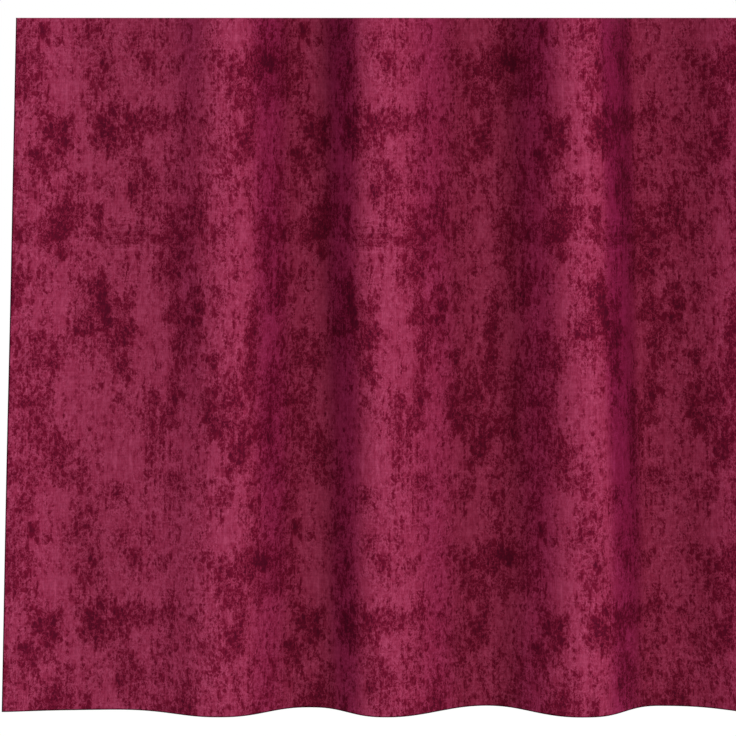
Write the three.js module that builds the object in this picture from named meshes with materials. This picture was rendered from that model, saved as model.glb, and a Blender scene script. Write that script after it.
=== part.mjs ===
// A velvet drape: one panel of printed velvet with turned hems, hanging in soft upright folds.
// Millimetres, +Z up. The origin is the middle of the top edge, by which the panel is held.
// The cloth's face looks along -Y, and the turned hems lie on its back, towards +Y.

import * as THREE from "three";

// Driving dimensions.
const DROP = 900; // from the top edge down to the hem
const FLAT_WIDTH = 1350; // the finished panel, pulled out flat
const SPREAD_AT_HEM = 1227; // how wide the folded panel hangs at the hem
const SPREAD_AT_TOP = 1162; // and at the top edge
const CLOTH = 1.5; // one layer of velvet with its pile
const SIDE_HEM = 25; // turned to the back down each side
const BOTTOM_HEM = 75;
const TOP_HEM = 40;
const HEM_STEP = 2; // the slope where a turned layer ends

// How finely the cloth is divided.
const COLUMNS = 100;
const ROWS = 8;
const POINTS_PER_FLANK = 60;

// The folds, from the left edge to the right. Each row is a crest or a hollow of the cloth.
// at: its place across the panel at the hem, from the middle; forward: how far it stands out there.
// lean: how far along the flank to the next turn the cloth is half way; crisp: 0 for an even wave,
// 1 for flatter ends and a steeper middle. drift: how far the turn lies aside at the top edge.
// bow: how far it lies aside half way down.
const TURNS = [
  { name: "left edge", at: -613.5, forward: -4, lean: 0.42, crisp: 0.0, drift: 0, bow: 0 },
  { name: "hollow 1", at: -493, forward: -18, lean: 0.62, crisp: 0.9, drift: 28, bow: 0 },
  { name: "crest 1", at: -326, forward: 22, lean: 0.53, crisp: 0.5, drift: -6, bow: 6 },
  { name: "hollow 2", at: -210, forward: -31, lean: 0.47, crisp: 0.85, drift: -14, bow: 0 },
  { name: "crest 2", at: -109, forward: 21, lean: 0.5, crisp: 0.2, drift: -16, bow: 0 },
  { name: "hollow 3", at: 23, forward: -37.5, lean: 0.5, crisp: 0.3, drift: -5, bow: 0 },
  { name: "crest 3", at: 143, forward: 23.5, lean: 0.53, crisp: 1.0, drift: -4, bow: 6 },
  { name: "hollow 4", at: 254, forward: -39, lean: 0.5, crisp: 0.3, drift: -22, bow: 0 },
  { name: "crest 4", at: 440, forward: 20, lean: 0.5, crisp: 0.4, drift: 5, bow: -4 },
  { name: "hollow 5", at: 540, forward: -24, lean: 0.5, crisp: 0.3, drift: 0, bow: 0 },
  { name: "right edge", at: 613.5, forward: -3, lean: 0.5, crisp: 0.0, drift: 0, bow: 0 },
];

// How far a flank has come, from 0 at one turn to 1 at the next, at share t of the way between them.
function flank(t, lean, crisp) {
  const bend = (0.5 - lean) / (lean * (1 - lean));
  const s = t + bend * t * (1 - t);
  const evenWave = (1 - Math.cos(Math.PI * s)) / 2;
  const steepWave = s - Math.sin(2 * Math.PI * s) / (2 * Math.PI);
  return (1 - crisp) * evenWave + crisp * steepWave;
}

// Where a turn lies across the panel at share h of the way down, from 0 at the top to 1 at the hem.
function acrossAt(turn, h) {
  const spread = THREE.MathUtils.lerp(SPREAD_AT_TOP / SPREAD_AT_HEM, 1, h);
  return turn.at * spread + turn.drift * (1 - h) + turn.bow * Math.sin(Math.PI * h);
}

// The line that the cloth's face follows at that height, as seen from above, with the folds
// `depth` times as deep as the table says.
function foldLine(h, depth) {
  const line = [];
  for (let i = 0; i < TURNS.length - 1; i++) {
    const [from, to] = [TURNS[i], TURNS[i + 1]];
    const last = i === TURNS.length - 2 ? POINTS_PER_FLANK : POINTS_PER_FLANK - 1;
    for (let j = 0; j <= last; j++) {
      const t = j / POINTS_PER_FLANK;
      const x = THREE.MathUtils.lerp(acrossAt(from, h), acrossAt(to, h), t);
      const out = THREE.MathUtils.lerp(from.forward, to.forward, flank(t, from.lean, from.crisp));
      line.push(new THREE.Vector2(x, -out * depth));
    }
  }
  return line;
}

// The distance along a line from its first point to each of its points.
function distances(line) {
  const along = [0];
  for (let i = 1; i < line.length; i++) along.push(along[i - 1] + line[i].distanceTo(line[i - 1]));
  return along;
}

// Cloth doesn't stretch, so where the panel hangs narrower its folds stand deeper. This finds, by
// halving, the depth at which the cloth at that height is FLAT_WIDTH wide.
function hangingLine(h) {
  let [shallow, deep] = [0, 3];
  for (let i = 0; i < 40; i++) {
    const middle = (shallow + deep) / 2;
    if (distances(foldLine(h, middle)).at(-1) < FLAT_WIDTH) shallow = middle;
    else deep = middle;
  }
  return foldLine(h, deep);
}

// The point of a line at a distance along it, with the direction square to the line there that
// points to the cloth's back.
function pointAlong(line, along, distance) {
  let i = 1;
  while (i < line.length - 1 && along[i] < distance) i++;
  const share = (distance - along[i - 1]) / (along[i] - along[i - 1]);
  const point = line[i - 1].clone().lerp(line[i], share);
  const run = line[Math.min(i + 1, line.length - 1)].clone().sub(line[Math.max(i - 2, 0)]);
  return { point, back: new THREE.Vector2(-run.y, run.x).normalize() };
}

// Distances over a length, evenly divided, with a pair at the slope of the hem at each end.
function divisions(length, firstHem, lastHem, count) {
  const [start, end] = [firstHem + HEM_STEP, length - lastHem - HEM_STEP];
  const middle = Array.from({ length: count + 1 }, (_, i) => start + ((end - start) * i) / count);
  return [0, firstHem, ...middle, length - lastHem, length];
}

// The cloth's thickness: two layers where a hem is turned up, and one elsewhere.
function thickness(u, v) {
  const inSideHem = u <= SIDE_HEM || u >= FLAT_WIDTH - SIDE_HEM;
  const inEndHem = v <= TOP_HEM || v >= DROP - BOTTOM_HEM;
  return inSideHem || inEndHem ? 2 * CLOTH : CLOTH;
}

// The panel as one closed sheet: a face and a back over the same grid, joined by a rim all round.
function panelGeometry() {
  const across = divisions(FLAT_WIDTH, SIDE_HEM, SIDE_HEM, COLUMNS);
  const down = divisions(DROP, TOP_HEM, BOTTOM_HEM, ROWS);
  const face = [];
  const back = [];
  for (const v of down) {
    const line = hangingLine(v / DROP);
    const along = distances(line);
    for (const u of across) {
      const place = pointAlong(line, along, u);
      const deep = thickness(u, v);
      face.push(place.point.x, place.point.y, -v);
      back.push(place.point.x + place.back.x * deep, place.point.y + place.back.y * deep, -v);
    }
  }

  const width = across.length;
  const height = down.length;
  const faceAt = (r, c) => r * width + c;
  const backAt = (r, c) => width * height + faceAt(r, c);
  const triangles = [];
  const quad = (a, b, c, d) => triangles.push(a, b, c, a, c, d);
  for (let r = 0; r < height - 1; r++) {
    for (let c = 0; c < width - 1; c++) {
      quad(faceAt(r, c), faceAt(r + 1, c), faceAt(r + 1, c + 1), faceAt(r, c + 1));
      quad(backAt(r, c), backAt(r, c + 1), backAt(r + 1, c + 1), backAt(r + 1, c));
    }
    quad(faceAt(r, 0), backAt(r, 0), backAt(r + 1, 0), faceAt(r + 1, 0));
    const c = width - 1;
    quad(faceAt(r, c), faceAt(r + 1, c), backAt(r + 1, c), backAt(r, c));
  }
  for (let c = 0; c < width - 1; c++) {
    quad(faceAt(0, c), faceAt(0, c + 1), backAt(0, c + 1), backAt(0, c));
    const r = height - 1;
    quad(faceAt(r, c), backAt(r, c), backAt(r, c + 1), faceAt(r, c + 1));
  }

  const geometry = new THREE.BufferGeometry();
  geometry.setAttribute("position", new THREE.Float32BufferAttribute([...face, ...back], 3));
  geometry.setIndex(triangles);
  geometry.computeVertexNormals();
  return geometry;
}

const velvet = new THREE.MeshStandardMaterial({ color: 0x8a2748, roughness: 0.9, metalness: 0 });

const panel = new THREE.Mesh(panelGeometry(), velvet);
panel.name = "velvet_panel";

const drape = new THREE.Group();
drape.add(panel);

export default drape;
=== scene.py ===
# %% [markdown]
# # A drape of printed velvet
#
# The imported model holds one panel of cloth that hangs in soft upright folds. It is a frame to dress:
# its size and its place are settled, and what is missing is the velvet. This lesson makes the panel
# again as a fine closed sheet in the same folds, turns its hems with round edges, sews them, charts
# the mottled print and builds the pile that carries it. All lengths are in metres, and +Z is up.

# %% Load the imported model
import math

import bmesh
import bpy
import numpy as np
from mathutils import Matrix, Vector


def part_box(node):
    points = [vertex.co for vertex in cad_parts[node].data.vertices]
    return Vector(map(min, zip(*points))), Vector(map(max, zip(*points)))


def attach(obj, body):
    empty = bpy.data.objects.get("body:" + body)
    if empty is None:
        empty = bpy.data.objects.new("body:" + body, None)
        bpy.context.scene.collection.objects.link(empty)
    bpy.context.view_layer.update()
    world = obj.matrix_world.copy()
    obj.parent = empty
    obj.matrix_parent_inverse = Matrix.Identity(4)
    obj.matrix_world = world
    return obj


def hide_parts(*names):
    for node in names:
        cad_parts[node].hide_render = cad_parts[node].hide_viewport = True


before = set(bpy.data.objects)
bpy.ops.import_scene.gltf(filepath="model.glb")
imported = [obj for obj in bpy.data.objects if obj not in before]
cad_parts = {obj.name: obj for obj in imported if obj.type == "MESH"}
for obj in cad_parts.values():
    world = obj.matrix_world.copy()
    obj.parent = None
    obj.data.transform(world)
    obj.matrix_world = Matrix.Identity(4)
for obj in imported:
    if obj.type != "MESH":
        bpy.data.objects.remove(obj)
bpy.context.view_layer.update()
low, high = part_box("velvet_panel")
DROP = high.z - low.z
SPREAD_AT_HEM = high.x - low.x
print(f"the panel hangs {DROP:.3f} m down and {SPREAD_AT_HEM:.3f} m wide at its hem")

# %% [markdown]
# ## The camera
#
# A drape is judged from straight in front, a few steps away, with a long lens that keeps its upright
# folds upright. The camera stands at the height of the top edge and looks a little down. An edge at
# the height of the eye looks straight however deep the folds are, and the hem below it shows every
# wave. So the two edges tell the viewer how deep the folds are.

# %% Point a camera
IMAGE = 736  # the picture is this many dots wide and high
FOCAL = 2825  # the focal length in dots
SENSOR = 36.0  # millimetres
CAMERA_AWAY = 3.6
CAMERA_ASIDE = -0.135
HORIZON = 350.2  # the top edge lies this many dots above the picture's middle

camera_data = bpy.data.cameras.new("camera")
camera_data.sensor_width = SENSOR
camera_data.lens = SENSOR * FOCAL / IMAGE
camera_data.clip_end = 60.0
camera = bpy.data.objects.new("camera", camera_data)
camera.location = (CAMERA_ASIDE, -CAMERA_AWAY, high.z)
camera.rotation_euler = (math.radians(90) - math.atan(HORIZON / FOCAL), 0, 0)
bpy.context.scene.collection.objects.link(camera)
bpy.context.scene.camera = camera
print(f"the lens is {camera_data.lens:.1f} mm long")

# %% [markdown]
# ## The folds
#
# A hanging panel is a row of crests and hollows with flanks between them. Each one is a row of this
# table, and the names of the columns say what the numbers are. `at` is its place across the panel at
# the hem and `forward` is how far it stands out there. `lean` says how far along the flank to the
# next turn the cloth is half way. `crisp` is 0 for an even wave and 1 for a steeper flank between
# flatter turns. `drift` moves a turn aside at the top edge and `bow` moves it half way down. A cloth
# simulation could find such folds too, but a table keeps them where they are wanted.

# %% Chart the turns of the cloth
MM = 0.001
CLOTH = 1.5 * MM  # one layer of velvet with its pile
FLAT_WIDTH = 1350 * MM  # the panel pulled out flat
SPREAD_AT_TOP = 1162 * MM

COLUMNS = ["at", "forward", "lean", "crisp", "drift", "bow"]
TURNS = [
    (-613.5, -4.0, 0.42, 0.0, 0, 0),  # left edge
    (-493.0, -18.0, 0.62, 0.9, 28, 0),
    (-326.0, 22.0, 0.53, 0.5, -6, 6),
    (-210.0, -31.0, 0.47, 0.85, -14, 0),
    (-109.0, 21.0, 0.50, 0.2, -16, 0),
    (23.0, -37.5, 0.50, 0.3, -5, 0),
    (143.0, 23.5, 0.53, 1.0, -4, 6),
    (254.0, -39.0, 0.50, 0.3, -22, 0),
    (440.0, 20.0, 0.50, 0.4, 5, -4),
    (540.0, -24.0, 0.50, 0.3, 0, 0),
    (613.5, -3.0, 0.50, 0.0, 0, 0),  # right edge
]
turns = np.array(TURNS, dtype=[(name, float) for name in COLUMNS])
for name in ("at", "forward", "drift", "bow"):
    turns[name] *= MM
print(f"{len(turns)} turns, standing {np.ptp(turns['forward']) / MM:.0f} mm deep at the hem")

# %% [markdown]
# ## From the table to a cloth that keeps its length
#
# Velvet hardly stretches. Near the top the panel hangs narrower than at the hem, so its folds have to
# stand deeper there. At each height the depth is found by halving: too shallow, and the line of the
# cloth is shorter than the flat panel; too deep, and it is longer.

# %% Hang the cloth, one level line after another
LEVELS = 61  # heights at which the cloth is laid out
DOTS = 60  # points on each flank
READ_STEP = 2 * MM  # along each line
DEEPEST = 3.0  # the search starts between flat and folds this many times as deep as the table's
HALVINGS = 40


def flank(t, lean, crisp):
    """The way from one turn to the next, 0 to 1: a half cosine, mixed with a wave whose slope is
    itself a whole cosine, so that it is flat at both ends and twice as steep in the middle. The
    share t is bent first by a parabola so that the middle comes at `lean`."""
    bend = (0.5 - lean) / (lean * (1 - lean))
    s = t + bend * t * (1 - t)
    even = (1 - np.cos(np.pi * s)) / 2
    steep = s - np.sin(2 * np.pi * s) / (2 * np.pi)
    return (1 - crisp) * even + crisp * steep


def level_lines(h, depth):
    """The lines that the face follows at shares h of the way down, as seen from above: straight
    steps across between the turns, and the flanks' wave times the depth towards the viewer."""
    h = h[:, None]
    narrow = SPREAD_AT_TOP / SPREAD_AT_HEM
    place = turns["at"] * (narrow + (1 - narrow) * h)
    place = place + turns["drift"] * (1 - h) + turns["bow"] * np.sin(np.pi * h)
    t = np.arange(DOTS) / DOTS
    wave = flank(t, turns["lean"][:-1, None], turns["crisp"][:-1, None])
    rise = turns["forward"][:-1, None] + np.diff(turns["forward"])[:, None] * wave
    x = place[:, :-1, None] + np.diff(place, axis=1)[:, :, None] * t
    x = np.concatenate([x.reshape(len(h), -1), place[:, -1:]], axis=1)
    rise = np.concatenate([rise.ravel(), turns["forward"][-1:]])
    return x, -rise * depth[:, None]


def run_along(x, y):
    """The distance along each line from its first point: the running sum of its steps."""
    steps = np.hypot(np.diff(x, axis=1), np.diff(y, axis=1))
    return np.concatenate([np.zeros((len(x), 1)), np.cumsum(steps, axis=1)], axis=1)


share_down = np.linspace(0, 1, LEVELS)
shallow, deep = np.zeros(LEVELS), np.full(LEVELS, DEEPEST)
for _ in range(HALVINGS):
    middle = (shallow + deep) / 2
    short = run_along(*level_lines(share_down, middle))[:, -1] < FLAT_WIDTH
    shallow, deep = np.where(short, middle, shallow), np.where(short, deep, middle)

line_x, line_y = level_lines(share_down, deep)
along = run_along(line_x, line_y)
read_at = np.arange(0, FLAT_WIDTH + READ_STEP / 2, READ_STEP)
hang_x = np.stack([np.interp(read_at, s, x) for s, x in zip(along, line_x)])
hang_y = np.stack([np.interp(read_at, s, y) for s, y in zip(along, line_y)])
hem_depth, top_depth = np.ptp(hang_y[-1]) / MM, np.ptp(hang_y[0]) / MM
print(f"the folds are {hem_depth:.0f} mm deep at the hem and {top_depth:.0f} mm at the top")

# %% [markdown]
# ## A surface of two parameters
#
# From here on a place on the cloth has two numbers, as a tailor would give them: how far across the
# flat panel it lies and how far down. One function turns them into a point in space. Real cloth also
# has faint long ripples that no table of folds holds. They are a few sine waves of about a
# millimetre, and they fade out towards the top edge, where the cloth is held. `across` and `down` say
# how long a wave is each way, and `start` says where in its turn it begins.

# %% Find any point of the cloth
RIPPLE_COLUMNS = ["across", "down", "height", "start"]
RIPPLES = np.array(
    [
        (0.31, 0.85, 1.3 * MM, 0.4),
        (-0.23, 0.52, 0.9 * MM, 2.1),
        (0.17, -0.64, 0.7 * MM, 4.0),
        (-0.11, 0.37, 0.5 * MM, 1.2),
    ],
    dtype=[(name, float) for name in RIPPLE_COLUMNS],
)
HELD = 0.25  # the ripples grow to their full height over this many metres
SHORT_OF_END = 0.001  # keeps a place inside the table's last cell
REACH = 3 * MM  # the cloth's direction is felt this far each way


def unit(vectors):
    """The same directions, one long."""
    return vectors / np.linalg.norm(vectors, axis=-1, keepdims=True)


def cloth_at(across, down):
    """The point where the cloth is laid: the four nearest entries of the table of level lines, mixed
    by their nearness, and moved out by the sum of the ripples' sines."""
    c = np.clip(across / READ_STEP, 0, hang_x.shape[1] - 1 - SHORT_OF_END)
    r = np.clip(down / DROP, 0, 1) * (LEVELS - 1 - SHORT_OF_END)
    c0, r0 = c.astype(int), r.astype(int)
    c, r = c - c0, r - r0
    weights = [(1 - r) * (1 - c), (1 - r) * c, r * (1 - c), r * c]
    corners = [(r0, c0), (r0, c0 + 1), (r0 + 1, c0), (r0 + 1, c0 + 1)]
    x = sum(w * hang_x[corner] for w, corner in zip(weights, corners))
    y = sum(w * hang_y[corner] for w, corner in zip(weights, corners))
    waves = 2 * np.pi * (across[..., None] / RIPPLES["across"] + down[..., None] / RIPPLES["down"])
    ripple = (RIPPLES["height"] * np.sin(waves + RIPPLES["start"])).sum(-1)
    ripple = ripple * np.sin(np.clip(down / HELD, 0, 1) * np.pi / 2) ** 2
    return np.stack([x, y + ripple, high.z - down], axis=-1)


def back_at(across, down):
    """The direction out of the cloth's back: square to two short steps over it, one across and one
    down, whose cross product points away from the viewer."""
    left, right = np.clip(across - REACH, 0, FLAT_WIDTH), np.clip(across + REACH, 0, FLAT_WIDTH)
    above, below = np.clip(down - REACH, 0, DROP), np.clip(down + REACH, 0, DROP)
    step_across = cloth_at(right, down) - cloth_at(left, down)
    step_down = cloth_at(across, below) - cloth_at(across, above)
    return unit(np.cross(step_across, step_down))


hem_middle = cloth_at(np.array([FLAT_WIDTH / 2]), np.array([DROP]))[0]
print("the middle of the hem is at", hem_middle.round(3))

# %% [markdown]
# ## Turned hems
#
# A hem is the cloth itself, turned to the back and sewn down. It shows as a round edge all the way
# round the panel and, from behind, as a band of double cloth that ends in a small rounded step. Both
# are given by thickness. Round the rim the thickness falls to nothing along a quarter circle, so face
# and back meet in one edge, and at the end of each hem it falls from two layers to one.

# %% Give the cloth its thickness
SIDE_HEM = 25 * MM
BOTTOM_HEM = 75 * MM
TOP_HEM = 40 * MM
HEM_STEP = 2 * MM
RIM = CLOTH  # the radius of the turned edge


def quarter_round(distance, radius):
    """0 at the edge and 1 from a radius inwards, along a quarter circle."""
    return np.sqrt(1 - (1 - np.clip(distance / radius, 0, 1)) ** 2)


def edge_distances(across, down):
    """How far a place lies from the left, right, top and bottom edge."""
    return across, FLAT_WIDTH - across, down, DROP - down


def hem_cover(across, down):
    """1 where a hem lies behind the cloth, and 0 elsewhere, with a quarter circle between."""
    widths = (SIDE_HEM, SIDE_HEM, TOP_HEM, BOTTOM_HEM)
    ends = [w - d for w, d in zip(widths, edge_distances(across, down))]
    return np.max([quarter_round(end, HEM_STEP) for end in ends], axis=0)


def faces_apart(across, down):
    """How far behind the laid line the face and the back lie."""
    round_off = np.prod([quarter_round(d, RIM) for d in edge_distances(across, down)], axis=0)
    thick = CLOTH * (1 + hem_cover(across, down))
    return thick / 2 * (1 - round_off), thick / 2 * (1 + round_off)


print(f"the cloth is {CLOTH / MM} mm thick and twice that in its hems")

# %% [markdown]
# ## The grid
#
# The face and the back are two grids over the same distances. The lines of the grid lie close
# together where the shape turns fast, at the rim and at the hems' steps, and evenly elsewhere, with
# one more where the painted shade along the edge ends. The two grids share the points of their
# outer edge, which closes the sheet.

# %% Divide the cloth
ACROSS_COUNT = 236
DOWN_COUNT = 150
RIM_LINES = 5
EDGE_SHADE_FULL = 1.4 * MM  # from the edge to here the painted edge shade is full
EDGE_SHADE_BAND = 2.3 * MM  # and from here on there is none
HEM_LINES = 3
STEP_LINES = 4


def divisions(length, first_hem, last_hem, count):
    """Distances over a length: along a quarter circle and up to the end of the edge's band at each
    rim, evenly over each hem, close at the step that ends it, and evenly over the rest."""
    rim = np.append(RIM * (1 - np.cos(np.linspace(0, np.pi / 2, RIM_LINES))), EDGE_SHADE_BAND)

    def from_edge(hem):
        band = np.linspace(EDGE_SHADE_BAND, hem - HEM_STEP, HEM_LINES + 2)[1:-1]
        step = hem - HEM_STEP * (1 - np.linspace(0, 1, STEP_LINES)) ** 2
        return np.concatenate([rim, band, step])

    first, last = from_edge(first_hem), length - from_edge(last_hem)[::-1]
    middle = np.linspace(first[-1], last[0], count)[1:-1]
    return np.concatenate([first, middle, last])


columns = divisions(FLAT_WIDTH, SIDE_HEM, SIDE_HEM, ACROSS_COUNT)
rows = divisions(DROP, TOP_HEM, BOTTOM_HEM, DOWN_COUNT)
across, down = np.meshgrid(columns, rows)
print(f"{across.shape[1]} lines across and {across.shape[0]} down")

# %% Place the points of the face and the back
laid = cloth_at(across, down)
outwards = back_at(across, down)
face_gap, back_gap = faces_apart(across, down)
face_points = laid + outwards * face_gap[..., None]
back_points = laid + outwards * back_gap[..., None]

index = np.arange(across.size).reshape(across.shape)
inner = index[1:-1, 1:-1]
back_index = index.copy()
back_index[1:-1, 1:-1] = across.size + np.arange(inner.size).reshape(inner.shape)
points = np.concatenate([face_points.reshape(-1, 3), back_points[1:-1, 1:-1].reshape(-1, 3)])
flat_place = np.stack([across, down], axis=-1).reshape(-1, 2)
flat_place = np.concatenate([flat_place, flat_place[inner.ravel()]])


def quads(grid):
    """Four corners for each cell of a grid of point numbers: down, across and back up."""
    cells = [grid[:-1, :-1], grid[1:, :-1], grid[1:, 1:], grid[:-1, 1:]]
    return np.stack(cells, axis=-1).reshape(-1, 4)


face_quads = quads(index)
back_quads = quads(back_index)[:, ::-1]
all_quads = np.concatenate([face_quads, back_quads])
print(f"{len(points)} points and {len(all_quads)} faces")

# %% [markdown]
# ## Which side of the cloth a face shows
#
# The front shows the print. Behind, the hems show it too, because they are the printed side turned
# over, and between them lies the plain woven reverse. So each face gets one of two materials, and
# each corner of a face gets its place on the flat cloth as a UV in metres. On a turned hem that place
# goes on past the edge, as it does on the cloth, so the print runs round the fold without a break.

# %% Lay the cloth's own measures on the mesh
quad_place = flat_place[all_quads]
middle_across, middle_down = quad_place.mean(axis=1).T
is_back = np.arange(len(all_quads)) >= len(face_quads)
in_hem = hem_cover(middle_across, middle_down) > 0.5  # more than half a layer lies behind
shows_hem = is_back & in_hem
shows_reverse = is_back & ~in_hem


def turned_place(place, which):
    """Where on the flat cloth a turned hem's place lies: as far past the edge as it lies inside."""
    a, d = place[..., 0].copy(), place[..., 1].copy()
    top = which & (middle_down < TOP_HEM)
    bottom = which & (middle_down > DROP - BOTTOM_HEM)
    left = which & ~top & ~bottom & (middle_across < FLAT_WIDTH / 2)
    right = which & ~top & ~bottom & ~left
    d[top] = -d[top]
    d[bottom] = 2 * DROP - d[bottom]
    a[left] = -a[left]
    a[right] = 2 * FLAT_WIDTH - a[right]
    return np.stack([a, d], axis=-1)


corner_place = turned_place(quad_place, shows_hem).reshape(-1, 2)


def new_mesh_object(name, vertices, faces):
    """A smooth-shaded mesh object at the origin, made from arrays of points and corner numbers."""
    mesh = bpy.data.meshes.new(name)
    mesh.from_pydata(vertices.tolist(), [], faces.tolist())
    mesh.polygons.foreach_set("use_smooth", np.ones(len(faces), bool))
    piece = bpy.data.objects.new(name, mesh)
    bpy.context.scene.collection.objects.link(piece)
    return piece


drape = new_mesh_object("drape_cloth", points, all_quads)
drape.data.polygons.foreach_set("material_index", shows_reverse.astype(np.int32))
uv_layer = drape.data.uv_layers.new(name="cloth")
uv_layer.data.foreach_set("uv", corner_place.astype(np.float32).ravel())
print(f"{shows_reverse.sum()} faces show the reverse, and {shows_hem.sum()} a turned hem")

# %% [markdown]
# ## The chart of the print
#
# The print comes off a roller, so it repeats: every 64 cm down the cloth, which is once round the
# roller, and four times over the width of the woven velvet, of which the panel takes most. Its look
# is worn and mottled, with ragged patches. They are charted in this table, in millimetres from the
# repeat's top left corner. `wide` and `high` are half of a patch's size. `ink` is how strongly it is
# printed: about 1 for the darkest spots, 0.5 for the middle tone, and below 0 where the ground stays
# clear and light. Where patches overlap they add up. Their edges are left soft here, because the
# shader frays them.

# %% Chart one repeat of the print
REPEAT_ACROSS = 367.5 * MM
REPEAT_DOWN = 642 * MM

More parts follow.
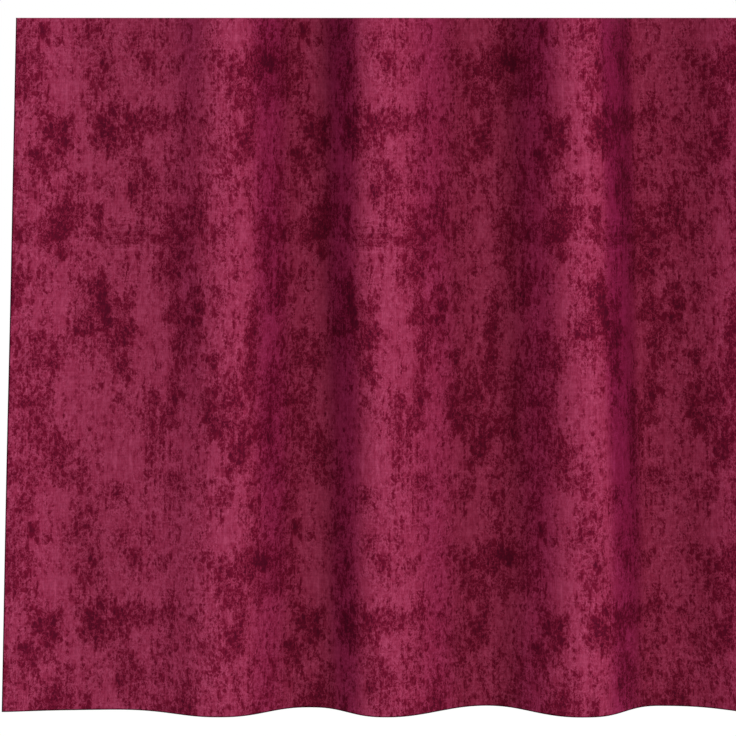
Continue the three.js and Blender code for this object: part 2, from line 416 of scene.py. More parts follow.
PATCH_COLUMNS = ["across", "down", "wide", "high", "ink"]
PATCHES = [
    # the first hand's breadth
    (33, 18, 15, 11, 0.55),
    (94, 20, 14, 22, 0.45),
    (10, 30, 9, 40, 0.3),
    (60, 12, 20, 14, -0.25),
    (150, 8, 30, 10, -0.2),
    (270, 48, 13, 11, 0.5),
    (292, 22, 22, 20, -0.25),
    (295, 60, 9, 16, 0.45),
    (332, 58, 22, 19, 0.95),
    (350, 58, 14, 10, 0.7),
    (364, 18, 10, 12, -0.15),
    # down to the pair of spots
    (115, 52, 11, 16, 0.45),
    (25, 48, 14, 12, 0.4),
    (15, 86, 20, 14, 0.4),
    (60, 56, 18, 10, -0.3),
    (66, 90, 26, 18, -0.35),
    (168, 58, 16, 18, 0.5),
    (102, 86, 7, 14, 0.5),
    (115, 76, 10, 18, 0.2),
    (150, 90, 26, 12, -0.25),
    (300, 100, 16, 22, 0.4),
    (345, 92, 20, 22, 0.5),
    (235, 80, 22, 24, -0.15),
    # the pair of spots and what lies beside it
    (58, 146, 18, 22, 1.05),
    (119, 148, 18, 29, 1.1),
    (86, 140, 7, 24, -0.25),
    (150, 132, 16, 11, 0.35),
    (186, 126, 20, 13, 0.45),
    (222, 122, 14, 14, 0.4),
    (250, 130, 13, 8, 0.5),
    (313, 152, 12, 19, 0.85),
    (20, 128, 16, 20, -0.15),
    (30, 176, 18, 11, 0.65),
    (46, 192, 12, 12, 0.5),
    (105, 188, 32, 13, -0.3),
    (275, 168, 11, 11, 0.55),
    (312, 180, 9, 16, 0.4),
    (350, 150, 18, 45, -0.1),
    (155, 170, 20, 18, 0.25),
    # two spots and the brushed field
    (172, 200, 14, 14, 0.65),
    (156, 222, 7, 16, 0.75),
    (290, 188, 8, 10, 0.1),
    (249, 230, 10, 18, 0.55),
    (254, 260, 9, 13, 0.75),
    (214, 278, 24, 36, 0.4),
    (58, 266, 15, 24, 0.85),
    (72, 246, 14, 14, 0.6),
    (20, 270, 22, 14, 0.2),
    (109, 248, 9, 13, 0.8),
    (111, 272, 6, 12, 0.7),
    (90, 264, 9, 13, 0.15),
    (65, 298, 7, 14, 0.75),
    (32, 246, 16, 8, -0.3),
    (130, 238, 22, 11, -0.25),
    (92, 288, 12, 9, -0.3),
    (152, 276, 34, 14, 0.42),
    (285, 266, 20, 12, 0.25),
    (308, 262, 12, 36, -0.3),
    (350, 276, 22, 24, 0.5),
    # the long slanting mark
    (10, 335, 14, 24, 0.6),
    (42, 318, 12, 9, -0.1),
    (112, 342, 14, 17, 1.0),
    (120, 368, 12, 13, 1.0),
    (97, 394, 15, 15, 0.8),
    (128, 390, 9, 12, 0.75),
    (151, 396, 13, 16, 0.75),
    (136, 418, 12, 14, 0.7),
    (145, 448, 8, 16, 0.95),
    (150, 364, 11, 16, 0.35),
    (55, 360, 32, 22, -0.3),
    (74, 324, 20, 14, -0.2),
    (175, 362, 16, 36, -0.3),
    (168, 315, 14, 10, -0.2),
    (189, 325, 8, 12, 0.55),
    (212, 318, 16, 20, 0.55),
    (216, 376, 15, 18, 0.6),
    (246, 346, 10, 12, 0.6),
    (278, 346, 10, 10, 0.65),
    (252, 368, 8, 8, 0.85),
    (247, 388, 12, 9, 0.8),
    (223, 420, 10, 24, 0.65),
    (327, 396, 11, 26, 0.85),
    (330, 364, 8, 14, 0.4),
    (361, 359, 13, 16, 0.75),
    (356, 400, 13, 22, -0.2),
    (196, 412, 14, 24, -0.35),
    (34, 406, 16, 12, 0.15),
    (8, 412, 10, 12, 0.15),
    # the lower half
    (36, 440, 24, 12, 0.45),
    (56, 442, 8, 10, 0.6),
    (30, 488, 20, 10, 0.5),
    (88, 478, 20, 50, -0.35),
    (128, 508, 20, 28, -0.3),
    (146, 488, 9, 10, 0.5),
    (188, 490, 13, 14, 0.55),
    (218, 476, 12, 20, 0.75),
    (190, 540, 13, 46, 0.45),
    (240, 462, 12, 30, -0.25),
    (276, 438, 11, 15, 0.5),
    (272, 490, 14, 22, 0.4),
    (300, 482, 12, 22, 0.6),
    (325, 446, 12, 22, 0.65),
    (296, 436, 8, 12, -0.25),
    (286, 518, 18, 16, 0.8),
    (312, 528, 12, 18, 0.6),
    (312, 556, 13, 18, 1.05),
    (350, 518, 16, 22, 0.3),
    (340, 498, 8, 10, -0.15),
    (68, 546, 13, 18, 0.35),
    (62, 568, 12, 8, 0.55),
    (72, 592, 14, 11, 0.1),
    (92, 592, 11, 15, 0.4),
    (10, 588, 12, 15, 0.25),
    (150, 572, 28, 32, -0.35),
    (254, 547, 6, 9, 0.5),
    (270, 590, 13, 11, 0.5),
    (230, 552, 18, 22, -0.25),
    (220, 592, 9, 13, 0.5),
    (282, 572, 10, 20, -0.2),
    (314, 592, 6, 18, -0.3),
    (295, 616, 8, 12, 0.5),
    (95, 632, 12, 14, 0.3),
    (146, 606, 12, 10, 0.4),
    (70, 616, 22, 14, -0.25),
    (25, 626, 10, 14, 0.4),
    (348, 582, 16, 20, 0.15),
    # small marks between the others
    (15, 114, 13, 12, 0.45),
    (18, 522, 14, 14, -0.2),
    (44, 342, 13, 12, 0.45),
    (54, 174, 12, 12, 0.4),
    (54, 466, 12, 14, 0.4),
    (64, 428, 12, 12, 0.4),
    (72, 396, 10, 12, -0.25),
    (130, 284, 14, 12, 0.35),
    (192, 466, 12, 12, -0.3),
    (206, 62, 14, 14, 0.6),
    (216, 234, 12, 14, -0.3),
    (216, 504, 10, 14, 0.5),
    (222, 156, 12, 12, 0.3),
    (266, 566, 10, 12, -0.3),
    (270, 90, 14, 16, -0.3),
    (270, 462, 12, 12, -0.25),
    (302, 578, 10, 14, 0.6),
    (312, 214, 12, 14, 0.4),
    (318, 120, 10, 14, 0.5),
    (330, 628, 13, 13, 0.5),
    (330, 472, 12, 14, 0.5),
    (330, 516, 9, 11, -0.25),
    (348, 42, 14, 12, 0.55),
    (350, 312, 14, 16, 0.5),
    (362, 488, 12, 16, 0.4),
    (362, 456, 14, 18, 0.65),
    (6, 438, 8, 10, -0.3),
    (12, 500, 9, 10, -0.25),
    (12, 552, 12, 16, -0.25),
    (42, 250, 8, 8, -0.25),
    (44, 504, 12, 11, 0.4),
    (48, 412, 11, 12, 0.5),
    (54, 228, 10, 10, -0.25),
    (78, 210, 12, 12, 0.35),
    (84, 0, 12, 14, -0.3),
    (90, 552, 10, 12, 0.3),
    (96, 266, 8, 10, -0.2),
    (102, 126, 10, 12, 0.5),
    (114, 408, 8, 9, -0.2),
    (120, 24, 9, 12, 0.35),
    (126, 536, 12, 12, -0.2),
    (132, 256, 9, 10, 0.25),
    (132, 348, 8, 12, 0.35),
    (144, 198, 12, 10, -0.2),
    (180, 246, 11, 12, 0.35),
    (192, 384, 10, 18, -0.35),
    (216, 180, 10, 12, 0.35),
    (240, 246, 10, 12, 0.5),
    (276, 2, 10, 10, -0.2),
    (288, 114, 10, 12, -0.3),
    (294, 546, 9, 11, 0.35),
    (330, 18, 10, 10, 0.35),
    (330, 600, 8, 12, 0.35),
    (342, 562, 10, 12, -0.2),
    (358, 530, 12, 14, 0.45),
    # broad faint grounds under the patches
    (15, 60, 25, 60, 0.15),
    (110, 70, 25, 40, 0.15),
    (295, 90, 30, 50, 0.15),
    (175, 130, 45, 20, 0.2),
    (285, 170, 30, 40, 0.2),
    (12, 220, 25, 50, 0.2),
    (150, 215, 40, 25, 0.2),
    (65, 270, 35, 45, 0.25),
    (230, 270, 45, 70, 0.15),
    (105, 375, 30, 25, 0.4),
    (230, 390, 30, 40, 0.2),
    (140, 410, 25, 40, 0.2),
    (280, 470, 50, 60, 0.2),
    (15, 470, 35, 60, 0.25),
    (214, 520, 14, 14, 0.35),
    (40, 560, 40, 60, 0.25),
    (348, 560, 30, 60, 0.2),
    (220, 600, 30, 25, 0.25),
]

BRUSHED = [
    # places where a dry brush was dragged level; here `ink` says how much of it shows
    (152, 270, 26, 16, 1.0),
    (140, 290, 24, 9, 0.8),
    (214, 285, 20, 22, 0.5),
    (46, 440, 24, 12, 0.4),
]
WAVERS = [(3, 0.2, 1.0), (5, 0.13, 2.4)]  # waves round a patch, their reach, and their start's step


def wrapped(distance, repeat):
    """The shortest way to a mark that comes back every repeat."""
    return distance - repeat * np.round(distance / repeat)


def mounds_at(place, rows):
    """The sum of a table's patches at a place on the flat cloth. Each is a mound with a flat top,
    exp(-r^4), where r is the distance from its middle measured in its half width and half height.
    That measure wavers in a few sine waves round the patch, from another start for each one."""
    table = np.array(rows, dtype=[(name, float) for name in PATCH_COLUMNS])
    total = np.zeros(len(place))
    for number, patch in enumerate(table):
        a = wrapped(place[:, 0] - patch["across"] * MM, REPEAT_ACROSS) / (patch["wide"] * MM)
        d = wrapped(place[:, 1] - patch["down"] * MM, REPEAT_DOWN) / (patch["high"] * MM)
        turn = np.arctan2(d, a)
        waver = np.ones(len(place))
        for waves, reach, step in WAVERS:
            waver += reach * np.sin(waves * turn + step * number)
        total += patch["ink"] * np.exp(-(((a * a + d * d) / waver**2) ** 2))
    return total


def store(piece, name, values, domain):
    """Keeps a number for every corner or point of the mesh, for the shader to read by name."""
    layer = piece.data.attributes.new(name, "FLOAT", domain)
    layer.data.foreach_set("value", values.astype(np.float32))


ink = mounds_at(corner_place, PATCHES)
store(drape, "ink", ink, "CORNER")
store(drape, "brush", mounds_at(corner_place, BRUSHED), "CORNER")
print(f"{len(PATCHES)} patches, with ink from {ink.min():.2f} to {ink.max():.2f}")

# %% [markdown]
# ## Where shade is painted on the cloth
#
# Shade is painted into the colour of the cloth here: darker down the steep flanks of the folds,
# darker still where they are steepest and in the hollows, and a dark line along the turned edges of
# the sides and the hem. All of this follows from the shape: how steeply the cloth runs from front to
# back, how far back it lies and how near the rim.

# %% Work out where shade is painted: on the flanks, in the hollows and at the edges
# where painted shade in the hollows begins and where it is full
HOLLOW_SHADE_BEGINS, HOLLOW_SHADE_FULL = 6 * MM, 36 * MM  # measured back from the origin's plane
FLANK_SHADE_POWER = 1.6  # above 1, gentle slopes get little painted shade

steps_x, steps_y = np.gradient(laid[..., 0], axis=1), np.gradient(laid[..., 1], axis=1)
steepness = np.abs(steps_y) / np.hypot(steps_x, steps_y)
# painted shade down the flanks, strongest where they are steepest
painted_flank_shade = steepness**FLANK_SHADE_POWER
# painted shade in the hollows, full where the cloth lies furthest back
set_back = np.clip((laid[..., 1] - HOLLOW_SHADE_BEGINS) / (HOLLOW_SHADE_FULL - HOLLOW_SHADE_BEGINS), 0, 1)
painted_hollow_shade = set_back**2 * (3 - 2 * set_back)  # a smooth step
# painted shade in a thin dark line along the left, right and bottom edges
to_left, to_right, _, to_hem = edge_distances(across, down)
nearest_edge = np.minimum(np.minimum(to_left, to_right), to_hem)
painted_edge_shade = np.clip((EDGE_SHADE_BAND - nearest_edge) / (EDGE_SHADE_BAND - EDGE_SHADE_FULL), 0, 1)


def over_both_grids(values):
    """The same value on the face and on the back of a place."""
    return np.concatenate([values.ravel(), values[1:-1, 1:-1].ravel()])


measures = {"painted_flank_shade": painted_flank_shade, "painted_hollow_shade": painted_hollow_shade, "painted_edge_shade": painted_edge_shade}
for name, values in measures.items():
    store(drape, name, over_both_grids(values), "POINT")
print(f"the steepest flank runs at {math.degrees(math.asin(steepness.max())):.0f} degrees")

# %% [markdown]
# ## Building with nodes
#
# A few helpers keep the node trees short: they add a node, do sums, mix colours, and start and place
# groups. Every group here takes a place on the cloth with some numbers, and gives one thing back.

# %% Helpers for node trees


def add_node(tree, kind, **settings):
    """A new node with its settings."""
    node = tree.nodes.new(kind)
    for name, value in settings.items():
        setattr(node, name, value)
    return node


def feed(tree, socket, value):
    """Links a socket to an output, or sets it to a plain number or colour."""
    if isinstance(value, bpy.types.NodeSocket):
        tree.links.new(value, socket)
    else:
        socket.default_value = value


def sums(tree, operation, *values):
    """A Math node over sockets and numbers."""
    node = add_node(tree, "ShaderNodeMath", operation=operation)
    for socket, value in zip(node.inputs, values):
        feed(tree, socket, value)
    return node.outputs[0]


def ease(tree, value, low_end, high_end):
    """0 below low_end, 1 above high_end, and a smooth step between."""
    node = add_node(tree, "ShaderNodeMapRange", interpolation_type="SMOOTHSTEP")
    for socket, given in zip(node.inputs, (value, low_end, high_end)):
        feed(tree, socket, given)
    return node.outputs[0]


def mix_colors(tree, share, first, second, blend="MIX"):
    """A colour between two others. The Mix node keeps its share at socket 0, and for colours it
    takes sockets 6 and 7 and gives output 2."""
    node = add_node(tree, "ShaderNodeMix", data_type="RGBA", blend_type=blend)
    feed(tree, node.inputs[0], share)
    feed(tree, node.inputs[6], first)
    feed(tree, node.inputs[7], second)
    return node.outputs[2]


def tinted(tree, color, tone):
    """A colour multiplied by another."""
    return mix_colors(tree, 1.0, color, tone, "MULTIPLY")


def start_group(name, numbers, output, output_kind):
    """A node group with its two end nodes. It takes a place on the cloth and named numbers, and gives
    one output."""
    tree = bpy.data.node_groups.new(name, "ShaderNodeTree")
    sockets = [("Cloth", "Vector", "INPUT"), *((number, "Float", "INPUT") for number in numbers)]
    for socket, kind, direction in (*sockets, (output, output_kind, "OUTPUT")):
        tree.interface.new_socket(name=socket, in_out=direction, socket_type="NodeSocket" + kind)
    return tree, tree.nodes.new("NodeGroupInput"), tree.nodes.new("NodeGroupOutput")


def use_group(tree, group, **values):
    """Places a group in a tree, feeds its named sockets and returns its one output."""
    node = add_node(tree, "ShaderNodeGroup", node_tree=group)
    for name, value in values.items():
        feed(tree, node.inputs[name], value)
    return node.outputs[0]


def ink_color(red, green, blue):
    """A linear colour from the 0 to 255 numbers of a colour card."""
    shares = np.array([red, green, blue]) / 255
    linear = np.where(shares <= 0.04045, shares / 12.92, ((shares + 0.055) / 1.055) ** 2.4)
    return (*linear.tolist(), 1.0)


print("a full red is", ink_color(255, 0, 0))

# %% [markdown]
# ## Noise that a roller could print
#
# Frayed edges and flecks are noise, but the roller prints the same ones at every turn. Noise that
# repeats is made by walking round two circles at once: the place across the repeat goes round one
# circle and the place down it round another. Two circles need four dimensions, and the Noise Texture
# has them. The size of a circle sets how fine the noise is along it, so streaks are noise whose
# upright circle is small and whose level circle is large.

# %% A group for repeating noise
noise_tree, noise_in, noise_out = start_group(
    "roller_noise", ["Across", "Down", "Detail", "Fray"], "Value", "Float"
)
split = add_node(noise_tree, "ShaderNodeSeparateXYZ")
feed(noise_tree, split.inputs[0], noise_in.outputs["Cloth"])


def circle(place, repeat, fineness):
    """The two coordinates of a circle whose rim is as long as the repeat, times the fineness."""
    angle = sums(noise_tree, "MULTIPLY", place, 2 * math.pi / repeat)
    radius = sums(noise_tree, "MULTIPLY", fineness, repeat / (2 * math.pi))
    return [
        sums(noise_tree, "MULTIPLY", sums(noise_tree, turn, angle), radius)
        for turn in ("COSINE", "SINE")
    ]


level = circle(split.outputs[0], REPEAT_ACROSS, noise_in.outputs["Across"])
upright = circle(split.outputs[1], REPEAT_DOWN, noise_in.outputs["Down"])
round_both = add_node(noise_tree, "ShaderNodeCombineXYZ")
for socket, value in zip(round_both.inputs, (*level, upright[0])):
    feed(noise_tree, socket, value)
roller = add_node(noise_tree, "ShaderNodeTexNoise", noise_dimensions="4D")
feed(noise_tree, roller.inputs["Vector"], round_both.outputs[0])
feed(noise_tree, roller.inputs["W"], upright[1])
feed(noise_tree, roller.inputs["Scale"], 1.0)
feed(noise_tree, roller.inputs["Detail"], noise_in.outputs["Detail"])
feed(noise_tree, roller.inputs["Roughness"], noise_in.outputs["Fray"])
feed(noise_tree, noise_out.inputs["Value"], roller.outputs[0])
print("repeating noise has", len(noise_tree.nodes), "nodes")

# %% [markdown]
# ## The print
#
# Four inks lie on the cloth: a light and a full raspberry, a burgundy and a near black. Each is laid
# where a sum of charted ink and noise comes out high enough, so a patch frays in lobes, in rags and
# upright streaks, and then in crumbs and flecks, which are fewest on the lightest ground. Cracks are
# thin light lines where one of the noises passes through 0, and the dry brush leaves such lines too,
# but level. The burgundy comes twice: as a thin wash with soft edges, and in full over it.

# %% A group for the print
LIGHT_INK = ink_color(190, 76, 111)
FULL_INK = ink_color(164, 49, 83)
MIDDLE_INK = ink_color(121, 16, 47)
DARK_INK = ink_color(96, 13, 41)

NOISES = {
    # marks a metre across and down, the depth of finer detail, and how frayed they are
    "lobes": (32.0, 24.0, 3.0, 0.6),
    "rags": (90.0, 60.0, 4.0, 0.7),
    "crumbs": (190.0, 95.0, 2.0, 0.65),
    "flecks": (430.0, 280.0, 1.0, 0.6),
    "streaks": (190.0, 14.0, 2.0, 0.6),
    "warp_marks": (460.0, 40.0, 1.0, 0.5),
    "weft_marks": (40.0, 460.0, 1.0, 0.5),
    "veins": (110.0, 80.0, 4.0, 0.75),
    "scratches": (20.0, 300.0, 2.0, 0.6),
}
LINE_WIDTH = 0.05  # cracks and scratches take up this much of their noise to each side of 0

print_tree, print_in, print_out = start_group("distressed_print", ["Ink", "Brush"], "Color", "Color")


def roller_noise(across, down, detail, fray):
    """Repeating noise about 0, with that many marks a metre each way."""
    numbers = {"Across": across, "Down": down, "Detail": detail, "Fray": fray}
    value = use_group(print_tree, noise_tree, Cloth=print_in.outputs["Cloth"], **numbers)
    return sums(print_tree, "SUBTRACT", value, 0.5)


noise = {name: roller_noise(*numbers) for name, numbers in NOISES.items()}


def thin_lines(name):
    """1 along the lines where a noise passes through 0, and 0 away from them."""
    away = ease(print_tree, sums(print_tree, "ABSOLUTE", noise[name]), 0.0, LINE_WIDTH)
    return sums(print_tree, "SUBTRACT", 1.0, away)


def plus(total, amount, value):
    """A total with that many times a value added."""
    return sums(print_tree, "MULTIPLY_ADD", value, amount, total)


def frayed(total, **amounts):
    """A total with that many times each named noise added."""
    for name, amount in amounts.items():
        total = plus(total, amount, noise[name])
    return total


def growing(share, grown, bare):
    """An amount that grows by `grown` with a share, from `bare` where the share is 0."""
    return sums(print_tree, "MULTIPLY_ADD", share, grown, bare)


print("the print is frayed by", ", ".join(noise))

# %% Lay the inks one over another
soft = frayed(print_in.outputs["Ink"], lobes=0.9, rags=0.5)
rough = frayed(soft, rags=1.6, streaks=1.5)
busy = ease(print_tree, rough, -0.6, 0.3)
cracks = thin_lines("veins")

depth = frayed(rough, crumbs=growing(busy, 1.7, 0.7), flecks=growing(busy, 0.9, 0.4))
depth = frayed(depth, warp_marks=0.7, weft_marks=0.6)
depth = plus(depth, growing(busy, -1.1, 0.0), cracks)
depth = plus(depth, growing(print_in.outputs["Brush"], -0.9, 0.0), thin_lines("scratches"))
wash = frayed(soft, rags=1.0, streaks=0.9)
spots = frayed(soft, rags=1.1, streaks=1.3, crumbs=1.5, flecks=1.5, warp_marks=1.2)
spots = plus(spots, -1.0, cracks)

LAYERS = [
    # a sum, where the ink over it begins and where it is full, the ink, and how much it covers
    (depth, -1.0, -0.1, FULL_INK, 1.0),
    (wash, 0.0, 0.4, MIDDLE_INK, 0.32),
    (depth, -0.24, 0.48, MIDDLE_INK, 1.0),
    (spots, 0.3, 1.3, DARK_INK, 1.0),
]
color = LIGHT_INK
for total, begins, full, paint, cover in LAYERS:
    share = sums(print_tree, "MULTIPLY", ease(print_tree, total, begins, full), cover)
    color = mix_colors(print_tree, share, color, paint)
feed(print_tree, print_out.inputs["Color"], color)
print("the print has", len(print_tree.nodes), "nodes")

# %% [markdown]
# ## Pile and weave
#
# Both sides of the cloth have a fine grain: the tips of the pile on the face, and the threads of the
# ground weave behind. The group below gives a height for the bump. It is noise drawn out along the
# warp, with a fainter one along the weft and an even fuzz, at sizes that each material chooses.

# %% A group for the grain
DRAWN_OUT = 0.25  # a thread's noise is this fine along it, as a share of its fineness across
WEFT_SHARE = 0.5
FUZZ_SHARE = 0.8

grain_tree, grain_in, grain_out = start_group(
    "cloth_grain", ["Warp", "Weft", "Fuzz"], "Height", "Float"
)


def drawn_out(scale_across, scale_down):
    """Noise on the flat cloth with that many marks a metre each way."""
    stretch = add_node(grain_tree, "ShaderNodeCombineXYZ")
    feed(grain_tree, stretch.inputs[0], scale_across)
    feed(grain_tree, stretch.inputs[1], scale_down)
    place = add_node(grain_tree, "ShaderNodeVectorMath", operation="MULTIPLY")
    feed(grain_tree, place.inputs[0], grain_in.outputs["Cloth"])
    feed(grain_tree, place.inputs[1], stretch.outputs[0])
    threads = add_node(grain_tree, "ShaderNodeTexNoise", noise_dimensions="2D")
    feed(grain_tree, threads.inputs["Vector"], place.outputs[0])
    feed(grain_tree, threads.inputs["Scale"], 1.0)
    feed(grain_tree, threads.inputs["Detail"], 2.0)
    return threads.outputs[0]


warp, weft, fine = (grain_in.outputs[name] for name in ("Warp", "Weft", "Fuzz"))
along_warp = drawn_out(warp, sums(grain_tree, "MULTIPLY", warp, DRAWN_OUT))
along_weft = drawn_out(sums(grain_tree, "MULTIPLY", weft, DRAWN_OUT), weft)
fuzz = sums(grain_tree, "SUBTRACT", drawn_out(fine, fine), 0.5)
height = sums(grain_tree, "MULTIPLY_ADD", along_weft, WEFT_SHARE, along_warp)
height = sums(grain_tree, "MULTIPLY_ADD", fuzz, FUZZ_SHARE, height)
feed(grain_tree, grain_out.inputs["Height"], height)
print("the grain has", len(grain_tree.nodes), "nodes")

# %% [markdown]
# ## The velvet's face
#
# Pile is matt and a little furry. It has almost no shine, but threads seen from the side catch light,
# which Blender calls sheen. The print gives the colour. Four tones of painted shade deepen it: down
# the steep flanks, once more where they are steepest, in the hollows, and along the turned edges.
# Last, shade is painted into the gaps between the tips of the pile.

# %% Helpers for materials


def start_material(piece, name):
    """Gives a piece a new material, and returns its node tree and its Principled BSDF."""
    material = bpy.data.materials.new(name)
    material.use_nodes = True
    piece.data.materials.append(material)
    return material.node_tree, material.node_tree.nodes["Principled BSDF"]


def set_inputs(node, **numbers):
    """Sets sockets by their names, written with underscores, to plain numbers or colours."""
    for name, number in numbers.items():
        node.inputs[name.replace("_", " ")].default_value = number


def cloth_place(tree):
    """The place on the flat cloth in metres, from the UV map."""
    return add_node(tree, "ShaderNodeUVMap", uv_map="cloth").outputs[0]


def stored(tree, name):
    """Reads a number that is kept on the mesh."""
    return add_node(tree, "ShaderNodeAttribute", attribute_name=name).outputs["Fac"]


def add_bump(tree, shader, height_value, strength, distance):
    """Turns a height into a bump on the shader's normal."""
    node = add_node(tree, "ShaderNodeBump")
    set_inputs(node, Strength=strength, Distance=distance)
    feed(tree, node.inputs["Height"], height_value)
    feed(tree, shader.inputs["Normal"], node.outputs[0])


def printed_color(tree, place):
    """The print at a place on the flat cloth, from the ink and the brush kept on the mesh."""
    numbers = {"Ink": stored(tree, "ink"), "Brush": stored(tree, "brush")}
    return use_group(tree, print_tree, Cloth=place, **numbers)


def with_painted_gap_shade(tree, color, height_value, tips, tone):
    """A colour with shade painted into the gaps between the tips of the grain. `tips` says at what
    heights the tips begin and are full."""
    on_tips = ease(tree, height_value, *tips)
    return mix_colors(tree, on_tips, tinted(tree, color, tone), color)


print("every material starts from the same few functions")

# %% Make the velvet
# tones of painted shade for the flanks, creases, hollows, edges and the gaps of the pile
FLANK_SHADE_TONE = (0.66, 0.32, 0.49, 1.0)
STEEPEST = (0.3, 0.75)  # of the painted flank shade: where the deeper crease shade begins and where it is full
CREASE_SHADE_TONE = (0.78, 0.46, 0.82, 1.0)
HOLLOW_SHADE_TONE = (0.67, 0.56, 0.58, 1.0)
EDGE_SHADE_TONE = (0.22, 0.05, 0.18, 1.0)
PILE_TIPS = (0.45, 1.05)
PILE_GAP_SHADE_TONE = (0.8, 0.72, 0.78, 1.0)
SHEEN_COLOR = ink_color(206, 96, 158)

tree, shader = start_material(drape, "printed_velvet")
place = cloth_place(tree)
pile = use_group(tree, grain_tree, Cloth=place, Warp=620.0, Weft=560.0, Fuzz=2400.0)
flank_shade_mask = stored(tree, "painted_flank_shade")
# painted shade on the flanks, deeper in the creases, in the hollows and along the edges
tones = [
    (flank_shade_mask, FLANK_SHADE_TONE),
    (ease(tree, flank_shade_mask, *STEEPEST), CREASE_SHADE_TONE),
    (stored(tree, "painted_hollow_shade"), HOLLOW_SHADE_TONE),
    (stored(tree, "painted_edge_shade"), EDGE_SHADE_TONE),
]
color = printed_color(tree, place)
for mask, tone in tones:
    color = mix_colors(tree, mask, color, tinted(tree, color, tone))
# painted shade in the gaps between the tips of the pile
color = with_painted_gap_shade(tree, color, pile, PILE_TIPS, PILE_GAP_SHADE_TONE)
feed(tree, shader.inputs["Base Color"], color)
set_inputs(shader, Roughness=0.9, Specular_IOR_Level=0.06)
set_inputs(shader, Sheen_Weight=0.06, Sheen_Roughness=0.45, Sheen_Tint=SHEEN_COLOR)
add_bump(tree, shader, pile, strength=0.5, distance=0.6 * MM)
print("the velvet reads", [a.name for a in drape.data.attributes if a.data_type == "FLOAT"])

# %% [markdown]
# ## The reverse
#
# Behind, the same cloth shows its ground: a plain close weave, duller than the pile, with the print
# struck through it only faintly. It takes the same two groups with other values, and shade is
# painted into the gaps between its threads too.

# %% Make the reverse
GROUND_COLOR = ink_color(122, 40, 64)
STRUCK_THROUGH = 0.35  # how much of the print shows behind
THREAD_TIPS = (0.45, 1.0)
# the tone of painted shade in the gaps between the threads
THREAD_GAP_SHADE_TONE = (0.62, 0.55, 0.6, 1.0)

tree, shader = start_material(drape, "woven_reverse")
place = cloth_place(tree)
weave = use_group(tree, grain_tree, Cloth=place, Warp=1600.0, Weft=1400.0, Fuzz=3000.0)
color = mix_colors(tree, STRUCK_THROUGH, GROUND_COLOR, printed_color(tree, place))
# painted shade in the gaps between the threads
color = with_painted_gap_shade(tree, color, weave, THREAD_TIPS, THREAD_GAP_SHADE_TONE)
feed(tree, shader.inputs["Base Color"], color)
set_inputs(shader, Roughness=0.8, Specular_IOR_Level=0.25)
add_bump(tree, shader, weave, strength=0.35, distance=0.3 * MM)
print("the cloth's materials are", [material.name for material in drape.data.materials])

# %% [markdown]
# ## Blind stitches
#
# The hems are sewn by hand with blind stitches: short slanting threads that catch the hem's edge and
# one thread of the cloth behind it, so that nothing shows in front. Each is a small spindle: a ring
# carried along a short path on the back and drawn in at both ends. All are made at once as arrays.

# %% Place the stitches
STITCH_EVERY = 12 * MM
STITCH_LENGTH = 6 * MM


def stitch_line(start, end):
    """Places along a straight line on the flat cloth, one for each stitch."""
    start, end = np.array(start), np.array(end)
    count = int(np.linalg.norm(end - start) / STITCH_EVERY)
    return start + (end - start) * ((np.arange(count) + 0.5) / count)[:, None]


left, right = SIDE_HEM, FLAT_WIDTH - SIDE_HEM
top, bottom = TOP_HEM, DROP - BOTTOM_HEM
lines = [
    stitch_line((left, top), (left, bottom)),
    stitch_line((right, top), (right, bottom)),
    stitch_line((left, top), (right, top)),
    stitch_line((left, bottom), (right, bottom)),
]
# across each hem's edge, and a little along it
slants = unit(np.array([(1, 0.6), (-1, 0.6), (0.6, 1), (0.6, -1)]))
slants = np.repeat(slants, [len(line) for line in lines], axis=0)
middles = np.concatenate(lines)
print(f"{len(middles)} stitches")

# %% Sew the hems
STITCH_RADIUS = 0.35 * MM
LIFT = 0.8 * STITCH_RADIUS  # from the cloth's back to the middle of a stitch
THINNEST = 0.02  # the square of the share of its thickness that a stitch keeps at its ends
RINGS = 5
SIDES = 6

along_stitch = np.linspace(-0.5, 0.5, RINGS)
flat = middles[:, None] + slants[:, None] * along_stitch[:, None] * STITCH_LENGTH
a, d = flat[..., 0], flat[..., 1]
out = back_at(a, d)
path = cloth_at(a, d) + out * faces_apart(a, d)[1][..., None] + out * LIFT
ahead = unit(np.gradient(path, axis=1))
side = unit(np.cross(ahead, out))
up = np.cross(side, ahead)
waist = STITCH_RADIUS * np.sqrt(np.clip(1 - (2 * along_stitch) ** 4, THINNEST, 1))
turn = 2 * np.pi * np.arange(SIDES) / SIDES
ring = np.cos(turn)[:, None] * side[:, :, None] + np.sin(turn)[:, None] * up[:, :, None]
stitch_points = path[:, :, None] + ring * waist[:, None, None]

# walls between each ring and the next, by the numbers of their points
stitch_start = np.arange(len(middles))[:, None, None] * RINGS * SIDES
ring_start = stitch_start + np.arange(RINGS - 1)[:, None] * SIDES
here, after = ring_start + np.arange(SIDES), ring_start + (np.arange(SIDES) + 1) % SIDES
walls = np.stack([here, after, after + SIDES, here + SIDES], axis=-1).reshape(-1, 4)
thread = new_mesh_object("hem_thread", stitch_points.reshape(-1, 3), walls)
print(f"the stitches have {len(walls)} walls")

# %% Close the ends of the stitches
shell = bmesh.new()
shell.from_mesh(thread.data)
bmesh.ops.holes_fill(shell, edges=[e for e in shell.edges if e.is_boundary], sides=SIDES)
bmesh.ops.recalc_face_normals(shell, faces=shell.faces)
shell.to_mesh(thread.data)
shell.free()
print(f"the thread has {len(thread.data.polygons)} faces")

# %% [markdown]
# ## The thread
#
# Polyester sewing thread is a shade off the cloth and slightly glossy, with a fine twist. The twist
# is a slanting wave on Object coordinates.

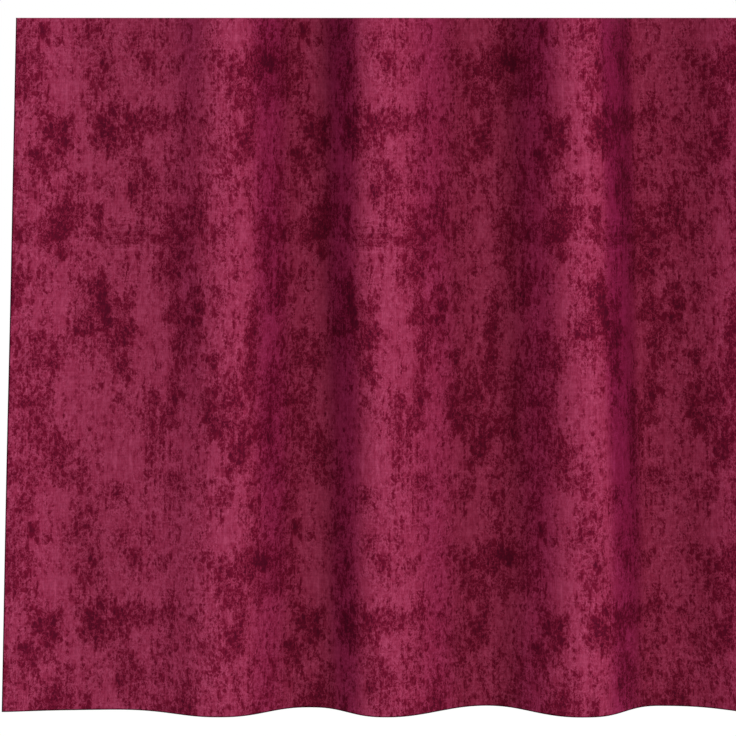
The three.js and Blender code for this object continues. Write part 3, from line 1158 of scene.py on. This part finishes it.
# %% Make the thread
THREAD_DARK = ink_color(96, 14, 38)
THREAD_LIGHT = ink_color(142, 42, 74)

tree, shader = start_material(thread, "sewing_thread")
wave = add_node(tree, "ShaderNodeTexWave", bands_direction="DIAGONAL")
feed(tree, wave.inputs["Vector"], add_node(tree, "ShaderNodeTexCoord").outputs["Object"])
set_inputs(wave, Scale=900.0, Distortion=1.5)
twist = wave.outputs["Fac"]
feed(tree, shader.inputs["Base Color"], mix_colors(tree, twist, THREAD_DARK, THREAD_LIGHT))
set_inputs(shader, Roughness=0.5)
add_bump(tree, shader, twist, strength=0.4, distance=0.1 * MM)
print("the thread's material is", thread.data.materials[0].name)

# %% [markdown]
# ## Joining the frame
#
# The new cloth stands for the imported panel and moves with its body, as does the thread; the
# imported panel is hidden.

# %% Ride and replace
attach(drape, "root")
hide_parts("velvet_panel")
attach(thread, "root")
print("declared a sheet of", FLAT_WIDTH, "by", round(DROP, 3), "m")

# %% [markdown]
# ## Studio
#
# One broad soft light stands in front and to the right, so the left flank of every fold falls into
# shade. The room gives a weak cool light back, which turns the shade towards purple. A second light
# of half the power stands behind, for views of the reverse. The floor and the room look white in the
# picture, whatever light they give the cloth.

# %% Lay a floor
FLOOR_GAP = 0.25  # below the hem
FLOOR_HALF = 9.0
FLOOR_COLOR = (0.8, 0.8, 0.8, 1.0)
FLOOR_GLOW = 1.05
GLOW_SEEN = 0.92  # how much of the floor's look in the picture is this glow
WHITE = (1.0, 1.0, 1.0, 1.0)


def seen_directly(tree):
    """1 for what the picture itself shows, and 0 for the light that a surface gives to others."""
    return add_node(tree, "ShaderNodeLightPath").outputs["Is Camera Ray"]


def mix_shaders(tree, share, first, second, end):
    """Lays a mix of two shaders on the surface socket of a tree's end node."""
    both = add_node(tree, "ShaderNodeMixShader")
    for socket, value in zip(both.inputs, (share, first.outputs[0], second.outputs[0])):
        feed(tree, socket, value)
    feed(tree, tree.nodes[end].inputs["Surface"], both.outputs[0])


corners = np.array([(-1, -1), (1, -1), (1, 1), (-1, 1)]) * FLOOR_HALF
floor_points = np.column_stack([corners, np.full(len(corners), low.z - FLOOR_GAP)])
floor = new_mesh_object("floor", floor_points, np.array([[0, 1, 2, 3]]))
tree, shader = start_material(floor, "pale_floor")
set_inputs(shader, Base_Color=FLOOR_COLOR, Roughness=0.8)
glow = add_node(tree, "ShaderNodeEmission")
set_inputs(glow, Color=WHITE, Strength=FLOOR_GLOW)
glow_share = sums(tree, "MULTIPLY", seen_directly(tree), GLOW_SEEN)
mix_shaders(tree, glow_share, shader, glow, "Material Output")
print(f"the floor lies {FLOOR_GAP} m below the hem")

# %% Light the room
KEY_PLACE = (2.7, -4.2, 0.4)
KEY_WATTS = 90
BACK_PLACE = (2.7, 2.9, 0.5)
BACK_WATTS = 45
LIGHT_SIZE = 2.2
AIM = Vector((0.0, 0.0, -DROP / 2))
ROOM_LIGHT = (0.96, 0.97, 1.0, 1.0)
ROOM_STRENGTH = 0.635


def soft_light(name, place, watts):
    """A broad round light that looks at the middle of the panel."""
    light_data = bpy.data.lights.new(name, "AREA")
    light_data.shape = "DISK"
    light_data.size = LIGHT_SIZE
    light_data.energy = watts
    light = bpy.data.objects.new(name, light_data)
    light.location = place
    light.rotation_euler = (AIM - light.location).to_track_quat("-Z", "Y").to_euler()
    bpy.context.scene.collection.objects.link(light)


soft_light("key", KEY_PLACE, KEY_WATTS)
soft_light("back_fill", BACK_PLACE, BACK_WATTS)

world = bpy.data.worlds.new("room")
world.use_nodes = True
bpy.context.scene.world = world
tree = world.node_tree
dim = tree.nodes["Background"]
set_inputs(dim, Color=ROOM_LIGHT, Strength=ROOM_STRENGTH)
white = add_node(tree, "ShaderNodeBackground")
set_inputs(white, Color=WHITE)
mix_shaders(tree, seen_directly(tree), dim, white, "World Output")
print("a key, a weak light behind the cloth and a dim room")

# %% Set how the picture turns light into colour
view = bpy.context.scene.view_settings
view.view_transform = "Standard"
view.look = "None"
view.exposure = 0.0
view.gamma = 1.0
print("colours are shown as they are")
